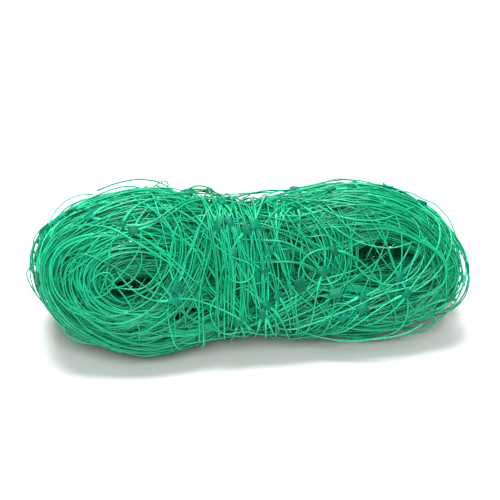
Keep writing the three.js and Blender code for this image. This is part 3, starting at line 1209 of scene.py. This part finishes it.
@dataclass
class LooseStrays:
    """The single strands that arch over the hank or stand off its outline."""

    sight: Sight
    style: NetStyle
    seed: int = 53
    off_outline: tuple[Stray, ...] = (
        # round the outline of the left lobe
        Stray(((-119, 10), (-121, 19), (-119, 28), (-113, 36), (-104, 41), (-94, 42))),
        Stray(((-116, 15), (-117, 25), (-111, 33), (-102, 38), (-90, 41))),
        Stray(((-121, 20), (-126, 12), (-127, 6), (-123, 2))),
        Stray(((-118, 6), (-125, 1), (-129, 0), (-134, -5), (-131, -14), (-123, -24), (-111, -32),
              (-98, -38))),
        Stray(((-113, -30), (-108, -39), (-99, -45), (-89, -48), (-80, -50), (-66, -50)),
              lift=0.001),
        Stray(((-122, -10), (-125, -18), (-116, -30), (-104, -38), (-90, -42))),
        # along the top
        Stray(((-92, 44), (-82, 48), (-74, 50), (-66, 51), (-54, 49), (-44, 43))),
        Stray(((-60, 45), (-52, 50), (-49, 48), (-51, 45), (-56, 47), (-48, 44), (-40, 38))),
        Stray(((-44, 40), (-37, 45), (-32, 47), (-25, 46), (-18, 41), (-12, 37))),
        Stray(((-40, 44), (-30, 44), (-21, 42), (-13, 40), (-3, 42), (8, 43))),
        Stray(((-30, 40), (-20, 41), (-10, 42), (2, 43), (14, 43))),
        Stray(((-16, 37), (-5, 41), (8, 44), (20, 44), (30, 43), (38, 40))),
        Stray(((18, 42), (30, 44), (44, 49), (54, 51), (62, 50), (70, 46))),
        Stray(((40, 45), (52, 48), (66, 49), (78, 46), (88, 43))),
        Stray(((78, 43), (87, 44), (96, 43), (104, 39), (111, 36), (116, 31), (120, 26),
              (125, 13))),
        Stray(((92, 42), (103, 37), (112, 31), (118, 23), (123, 14), (127, 2))),
        # round the right end and along the foot
        Stray(((120, 20), (126, 11), (131, -1), (130, -14), (124, -24), (115, -28), (106, -28))),
        Stray(((112, 28), (120, 14), (125, 0), (124, -14), (116, -24))),
        Stray(((118, 10), (128, 4), (129, -8), (122, -18), (112, -22))),
        Stray(((84, -30), (100, -33), (109, -31), (112, -33), (110, -36), (105, -40), (96, -42),
              (86, -43), (60, -45), (36, -44)), lift=0.0),
        Stray(((20, -36), (39, -43), (57, -46), (75, -45), (92, -42), (104, -36)), lift=0.0),
        Stray(((-104, -30), (-111, -36), (-110, -42), (-100, -47), (-90, -48), (-83, -51),
              (-77, -53)), lift=0.0),
        Stray(((-106, -36), (-96, -45), (-86, -50), (-74, -53), (-64, -55), (-55, -54),
              (-46, -51)), lift=0.0),
        Stray(((-66, -46), (-56, -51), (-46, -51), (-38, -46)), lift=0.001),
    )
    on_front: tuple[Stray, ...] = (
        # arcs and loops on the left lobe
        Stray(((-96, 12), (-82, 28), (-62, 32), (-48, 22), (-46, 4), (-56, -12), (-74, -20))),
        Stray(((-102, -4), (-92, 14), (-74, 22), (-58, 16), (-54, 0), (-64, -14), (-80, -14))),
        Stray(((-88, -16), (-76, -4), (-66, 12), (-68, 26), (-80, 34))),
        Stray(((-112, 4), (-98, 6), (-80, -2), (-62, -14), (-50, -28))),
        Stray(((-60, 42), (-54, 26), (-50, 8), (-44, -14), (-42, -30))),
        Stray(((-50, 46), (-40, 34), (-24, 20), (-11, 6), (-4, -6), (2, -18))),
        Stray(((-70, 20), (-52, 6), (-38, -12), (-30, -32))),
        Stray(((-64, -27), (-60, -32), (-54, -32), (-49, -26), (-50, -19), (-57, -17))),
        Stray(((-53, 17), (-57, 10), (-57, 2), (-54, -8), (-51, -17))),
        Stray(((-98, -14), (-92, -6), (-84, -4), (-81, -9), (-84, -16), (-92, -20), (-100, -18))),
        Stray(((-104, 22), (-84, 21), (-66, 12), (-50, 2), (-41, -5)), lift=0.003),
        Stray(((-81, 23), (-64, 16), (-48, 4), (-38, -6), (-29, -14)), lift=0.003),
        Stray(((-76, 17), (-68, 14), (-65, 6), (-67, -4), (-74, -12), (-86, -15))),
        # loops at the waist
        Stray(((-28, 19), (-16, 8), (-9, 4), (0, 1), (2, -5), (-2, -10), (-9, -11), (-15, -6),
              (-14, 0), (-10, 3)), lift=0.003),
        Stray(((-6, -12), (4, -20), (13, -30), (18, -39), (8, -41), (-4, -38), (-16, -40),
              (-23, -33), (-24, -25), (-16, -13))),
        Stray(((10, 40), (12, 26), (19, 8), (23, -8), (24, -24), (18, -36))),
        Stray(((-26, 34), (-14, 24), (-4, 6), (2, -14), (4, -34))),
        Stray(((-14, 36), (-2, 22), (10, 2), (16, -20), (14, -38))),
        Stray(((28, 20), (34, 16), (46, 18), (56, 8), (56, -6), (46, -12), (34, -8), (29, 4),
              (32, 16))),
        Stray(((22, 38), (16, 20), (18, 0), (26, -16), (38, -26))),
        # arcs and loops on the right lobe
        Stray(((29, -12), (28, -4), (31, 4), (40, 9), (54, 11)), lift=0.003),
        Stray(((45, -27), (50, -23), (58, -23), (63, -27), (60, -31), (52, -31), (44, -27))),
        Stray(((62, 30), (78, 34), (96, 26), (104, 10), (98, -6), (82, -12), (66, -4), (60, 12),
              (64, 26))),
        Stray(((48, 24), (64, 14), (84, 10), (102, 14), (116, 6))),
        Stray(((70, -24), (86, -12), (98, 4), (100, 20), (90, 32))),
        Stray(((56, 40), (72, 26), (84, 6), (88, -14), (82, -28))),
        Stray(((110, 24), (98, 4), (92, -16), (100, -30))),
        Stray(((36, 36), (54, 28), (76, 26), (98, 32), (112, 30))),
    )
    arcs: int = 95
    least_radius: float = 0.013
    most_radius: float = 0.090
    most_length: float = 0.12
    dive: float = 0.008  # how deep the ends go in
    swell: float = 0.85

    def beside(self, rng: np.random.Generator, stray: Stray) -> Strand:
        """One of the strays that stand off the outline."""
        route = smooth_route(np.array(stray.route) * MM, ROUTE_STEP)
        lift = stray.lift - self.dive * diving(travelled(route), 0.005)
        return self.style.strand(rng, self.sight.laid_on(route, lift), 0.2)

    def over(self, rng: np.random.Generator, stray: Stray) -> Strand:
        """One of the strays that lie over the front.

        Args:
            rng: Where its chance comes from.
            stray: The stray.

        Returns:
            Its strand.
        """
        route = smooth_route(np.array(stray.route) * MM, ROUTE_STEP)
        spots, outs = self.sight.wrapped_on(route, 0.006)
        along = travelled(spots)
        lift = stray.lift + 0.001 + wander(rng, along, 0.001, 0.03, 0.12)
        points = raised(spots, outs, lift - self.dive * diving(along, 0.005))
        return self.style.strand(rng, points, 0.25, swell=self.swell)

    def arc(self, rng: np.random.Generator) -> Strand:
        """A random arc on one of the lobes, at any side.

        Args:
            rng: Where its chance comes from.

        Returns:
            Its strand.
        """
        skin = self.sight.skin
        x = rng.choice((-1, 1)) * rng.uniform(0.030, 0.115)
        axis = skin.form.stand_up(np.array(x), np.array(0.0), np.array(0.0))
        hit, _, _, _ = skin.tree.ray_cast(Vector(axis), Vector(unit(rng.normal(0, 1, 3))))
        spot, out = skin.nearest(hit)
        heading = turned(skin.flow(spot, out), out, rng.normal(0, 0.8))
        radius = math.exp(rng.uniform(math.log(self.least_radius), math.log(self.most_radius)))
        length = min(rng.uniform(1.0, 3.6) * radius, self.most_length)
        s = np.arange(1, int(length / ROUTE_STEP) + 1) * ROUTE_STEP
        bend = rng.choice((-1, 1)) / radius * (1 + wander(rng, s, 0.6, 0.03, 0.1))
        spots, outs = skin.walk(spot, heading, bend, ROUTE_STEP)
        along = travelled(spots)
        lift = rng.uniform(-0.001, 0.0028) + wander(rng, along, 0.0012, 0.03, 0.1)
        points = raised(spots, outs, lift - self.dive * diving(along, 0.006))
        return self.style.strand(rng, points, 0.1, swell=self.swell)

    def strands(self) -> list[Strand]:
        """All the strays."""
        rng = np.random.default_rng(self.seed)
        out = [self.beside(rng, stray) for stray in self.off_outline]
        out += [self.over(rng, stray) for stray in self.on_front]
        return out + [self.arc(rng) for _ in range(self.arcs)]


@dataclass
class CutEnds:
    """The net's cut ends that hang down at the front."""

    sight: Sight
    style: NetStyle
    seed: int = 61
    ends: tuple[tuple[float, float, float, float], ...] = (
        # right, top, bottom and thickness of each
        (-29, -22, -50, 0.0007),
        (-46, -30, -39, 0.0004),
        (9, -33, -42, 0.0004),
    )

    def strands(self) -> list[Strand]:
        """All the cut ends."""
        rng = np.random.default_rng(self.seed)
        out = []
        for right, top, bottom, thickness in self.ends:
            route = np.array(((right - 2, top + 10), (right, top), (right + 0.3, bottom))) * MM
            route = smooth_route(route, ROUTE_STEP)
            along = travelled(route)
            lift = 0.003 - 0.010 * np.exp(-along / 0.005)
            points = self.sight.laid_on(route, lift)
            strand = self.style.strand(rng, points, 0.3)
            strand.radius[:] = thickness * (1 - 0.4 * np.linspace(1, 0, len(strand.radius)))
            out.append(strand)
        return out


@dataclass
class WeldPlates:
    """The welds, as small plates stretched towards their four strands."""

    seed: int = 71
    length: float = 0.0078
    width: float = 0.0055
    thickness: float = 0.0014
    corners: int = 12
    pull: float = 0.23  # how far the plate is drawn out towards its strands
    tilt: float = 0.25
    least_height: float = 0.0002  # above the floor

    def plate(self) -> tuple[np.ndarray, list[list[int]]]:
        """One plate round its middle, flat across z.

        Returns:
            Its points and its faces.
        """
        grid = bmesh.new()
        ring = bmesh.ops.create_circle(grid, cap_ends=True, segments=self.corners, radius=1)
        for vert in ring["verts"]:
            turn = math.atan2(vert.co.y, vert.co.x)
            reach = 0.5 * (1 - self.pull * math.cos(4 * turn))
            x = reach * self.length * math.cos(turn)
            vert.co = Vector((x, reach * self.width * math.sin(turn), 0))
        face = grid.faces[:]
        top = bmesh.ops.extrude_face_region(grid, geom=face)
        for item in top["geom"]:
            if isinstance(item, bmesh.types.BMVert):
                item.co.z += self.thickness
        for vert in grid.verts:
            vert.co.z -= 0.5 * self.thickness
        bmesh.ops.recalc_face_normals(grid, faces=grid.faces[:])
        sharp = [e for e in grid.edges if abs(e.verts[0].co.z - e.verts[1].co.z) < 1e-6]
        bmesh.ops.bevel(
            grid, geom=sharp, offset=0.3 * self.thickness, segments=1, profile=0.5,
            affect="EDGES", material=-1,
        )
        grid.verts.index_update()
        points = np.array([v.co for v in grid.verts])
        faces = [[v.index for v in f.verts] for f in grid.faces]
        grid.free()
        return points, faces

    def build(self, spots: list[WeldSpot]) -> bpy.types.Object:
        """All the plates in one object.

        Args:
            spots: Where the welds lie.

        Returns:
            The object, with a tone attribute on its points.
        """
        rng = np.random.default_rng(self.seed)
        points, faces = self.plate()
        verts = []
        polygons = []
        tones = []
        for spot in spots:
            lean = spot.outward + rng.normal(0, self.tilt, 3)
            out = unit(lean - spot.heading * lean.dot(spot.heading))
            ahead = unit(spot.heading + rng.normal(0, 0.3, 3))
            ahead = unit(ahead - out * ahead.dot(out))
            side = np.cross(out, ahead)
            stretch = spot.size * rng.uniform(0.88, 1.12, 3)
            bend = rng.normal(0, 60.0)
            shaped = points * stretch
            shaped[:, 2] += bend * shaped[:, 0] ** 2
            base = len(verts)
            verts.extend(spot.place + shaped @ np.stack((ahead, side, out)))
            polygons.extend([base + i for i in face] for face in faces)
            tones.extend([rng.normal(0, 0.3)] * len(points))
        verts = np.array(verts)
        verts[:, 2] = np.maximum(verts[:, 2], self.least_height)
        mesh = bpy.data.meshes.new("welds")
        mesh.from_pydata(verts.tolist(), [], polygons)
        return smooth_piece(mesh, np.array(tones))


@dataclass(frozen=True)
class PlasticFinish:
    """One plastic: its darkest and lightest colour, and how rough and how glossy it is."""

    name: str
    dark: tuple[float, float, float]
    light: tuple[float, float, float]
    roughness: float
    gloss: float


# The strands' tone runs from dark to light: partly their own tone by chance, partly painted shade for
# the deep strands and painted highlight at the welds.
STRAND_PLASTIC = PlasticFinish(
    "strand_plastic", dark=(0.001, 0.145, 0.048), light=(0.006, 0.50, 0.256), roughness=0.22, gloss=0.25
)
WELD_PLASTIC = PlasticFinish(
    "weld_plastic", dark=(0.0004, 0.100, 0.054), light=(0.0008, 0.195, 0.110), roughness=0.36, gloss=0.12
)


class PlasticDresser:
    """Makes the plastics from one shared node group."""

    tone_range = 0.7  # the tones from all dark to all light, either side of 0
    grain_scale = 260
    grain_share = 0.5
    bump_height = 0.0002
    bump_strength = 0.25

    def __init__(self) -> None:
        """Builds the node group: tone and a fine grain to a colour, and the grain to a height."""
        group = bpy.data.node_groups.new("net_plastic_look", "ShaderNodeTree")
        for name, way, kind in (
            ("Dark", "INPUT", "Color"),
            ("Light", "INPUT", "Color"),
            ("Colour", "OUTPUT", "Color"),
            ("Height", "OUTPUT", "Float"),
        ):
            group.interface.new_socket(name, in_out=way, socket_type=f"NodeSocket{kind}")
        nodes, links = group.nodes, group.links
        taken = nodes.new("NodeGroupInput")
        given = nodes.new("NodeGroupOutput")
        tone = nodes.new("ShaderNodeAttribute")
        tone.attribute_name = "tone"
        place = nodes.new("ShaderNodeTexCoord")
        grain = nodes.new("ShaderNodeTexNoise")
        grain.inputs["Scale"].default_value = self.grain_scale
        grain.inputs["Detail"].default_value = 2
        links.new(place.outputs["Object"], grain.inputs["Vector"])
        share = nodes.new("ShaderNodeMapRange")
        share.inputs["From Min"].default_value = -self.tone_range
        share.inputs["From Max"].default_value = self.tone_range
        blend = nodes.new("ShaderNodeMath")
        blend.operation = "MULTIPLY_ADD"
        blend.inputs[1].default_value = self.grain_share
        links.new(grain.outputs["Fac"], blend.inputs[0])
        links.new(tone.outputs["Fac"], blend.inputs[2])
        shift = nodes.new("ShaderNodeMath")
        shift.operation = "SUBTRACT"
        shift.inputs[1].default_value = 0.5 * self.grain_share
        links.new(blend.outputs[0], shift.inputs[0])
        links.new(shift.outputs[0], share.inputs["Value"])
        colour = nodes.new("ShaderNodeMix")
        colour.data_type = "RGBA"
        links.new(share.outputs["Result"], colour.inputs["Factor"])
        links.new(taken.outputs["Dark"], colour.inputs[6])
        links.new(taken.outputs["Light"], colour.inputs[7])
        links.new(colour.outputs[2], given.inputs["Colour"])
        links.new(grain.outputs["Fac"], given.inputs["Height"])
        self.group = group

    def material(self, finish: PlasticFinish) -> bpy.types.Material:
        """A material for one plastic.

        Args:
            finish: The plastic.

        Returns:
            The material.
        """
        material = bpy.data.materials.new(finish.name)
        material.use_nodes = True
        nodes, links = material.node_tree.nodes, material.node_tree.links
        shader = nodes["Principled BSDF"]
        look = nodes.new("ShaderNodeGroup")
        look.node_tree = self.group
        look.inputs["Dark"].default_value = (*finish.dark, 1)
        look.inputs["Light"].default_value = (*finish.light, 1)
        links.new(look.outputs["Colour"], shader.inputs["Base Color"])
        bump = nodes.new("ShaderNodeBump")
        bump.inputs["Strength"].default_value = self.bump_strength
        bump.inputs["Distance"].default_value = self.bump_height
        links.new(look.outputs["Height"], bump.inputs["Height"])
        links.new(bump.outputs["Normal"], shader.inputs["Normal"])
        shader.inputs["Roughness"].default_value = finish.roughness
        shader.inputs["Specular IOR Level"].default_value = finish.gloss
        return material


@dataclass(frozen=True)
class SoftLight:
    """One soft area light."""

    name: str
    place: tuple[float, float, float]
    size: float
    energy: float


@dataclass(frozen=True)
class Studio:
    """A plain pale floor and soft light."""

    lights: tuple[SoftLight, ...] = (
        SoftLight("top", (-0.08, 0.08, 1.1), 0.7, 22),
        SoftLight("front", (-0.10, -1.0, 0.85), 0.6, 12),
    )
    world_strength: float = 0.34
    floor_tone: float = 0.82
    floor_size: float = 3.0
    lit_spot: tuple[float, float, float] = (0, 0, 0.04)

    def build(self) -> None:
        """Makes the floor, the lights and the surrounding light."""
        data = bpy.data.meshes.new("floor")
        grid = bmesh.new()
        bmesh.ops.create_grid(grid, x_segments=1, y_segments=1, size=self.floor_size)
        grid.to_mesh(data)
        grid.free()
        floor = in_scene("floor", data)
        material = bpy.data.materials.new("floor_paper")
        material.use_nodes = True
        shader = material.node_tree.nodes["Principled BSDF"]
        tone = self.floor_tone
        shader.inputs["Base Color"].default_value = (tone, tone, tone, 1)
        shader.inputs["Roughness"].default_value = 0.9
        data.materials.append(material)
        world = bpy.data.worlds.new("studio")
        bpy.context.scene.world = world
        world.use_nodes = True
        background = world.node_tree.nodes["Background"]
        background.inputs["Color"].default_value = (1, 1, 1, 1)
        background.inputs["Strength"].default_value = self.world_strength
        for soft in self.lights:
            light = bpy.data.lights.new(soft.name, "AREA")
            light.shape = "DISK"
            light.size = soft.size
            light.energy = soft.energy
            lamp = in_scene(soft.name, light)
            lamp.location = soft.place
            aim = Vector(self.lit_spot) - Vector(soft.place)
            lamp.rotation_euler = aim.to_track_quat("-Z", "Y").to_euler()
        bpy.context.scene.view_settings.view_transform = "Standard"


class Assembler:
    """Shares the strands out over pieces and ties each piece to the part."""

    most_triangles = 185_000

    def __init__(self, plastic: bpy.types.Material) -> None:
        """Keeps the strands' material.

        Args:
            plastic: The material.
        """
        self.plastic = plastic
        self.total = 0

    def tie(self, piece: bpy.types.Object, material: bpy.types.Material) -> None:
        """Dresses a piece and ties it to the part's solid.

        Args:
            piece: The piece.
            material: Its material.
        """
        piece.data.materials.append(material)
        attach(piece, "root")
        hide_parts("netting")

    def add(self, name: str, strands: list[Strand], sides: int) -> None:
        """Makes the pieces of one group of strands.

        Args:
            name: The group's name.
            strands: Its strands.
            sides: How many sides its tubes have.
        """
        tubes = TubeMesh(sides)
        share = []
        count = 0
        number = 0
        for i, strand in enumerate(strands):
            share.append(strand)
            count += tubes.triangles(strand)
            if count > self.most_triangles or i == len(strands) - 1:
                number += 1
                piece = tubes.build(f"{name}_{number}", share)
                self.tie(piece, self.plastic)
                self.total += count
                metres = sum(s.length() for s in share)
                facts = (piece.name, len(share), metres, count)
                LOG.info("%s: %d strands, %.1f m, %d triangles", *facts)
                share = []
                count = 0


def main() -> None:
    """Builds the hank piece by piece."""
    logging.basicConfig(level=logging.INFO, format="%(name)s: %(message)s")
    form = HankForm()
    style = NetStyle()
    sight = Sight(form)
    sight.place_camera()
    Studio().build()
    dresser = PlasticDresser()
    assembler = Assembler(dresser.material(STRAND_PLASTIC))
    turns = WoundTurns(form, style)
    crossing_strands, spots = Crossings(form, sight, style).build()
    assembler.add("turns_inner", turns.inner_strands(), 4)
    assembler.add("packed_inside", PackedInside(form, style).strands(), 4)
    assembler.add("turns_outer", turns.outer_strands(), 5)
    assembler.add("waist_wraps", WaistWraps(form, style).strands(), 5)
    assembler.add("front_bundles", FrontBundles(sight, style).strands(), 5)
    assembler.add("crossings", crossing_strands, 5)
    loose = LooseStrays(sight, style).strands() + CutEnds(sight, style).strands()
    assembler.add("strays", loose, 6)
    plates = WeldPlates().build(spots)
    assembler.tie(plates, dresser.material(WELD_PLASTIC))
    LOG.info("welds: %d", len(spots))
    LOG.info("strands: %d triangles in all", assembler.total)


if __name__ == "__main__":
    main()
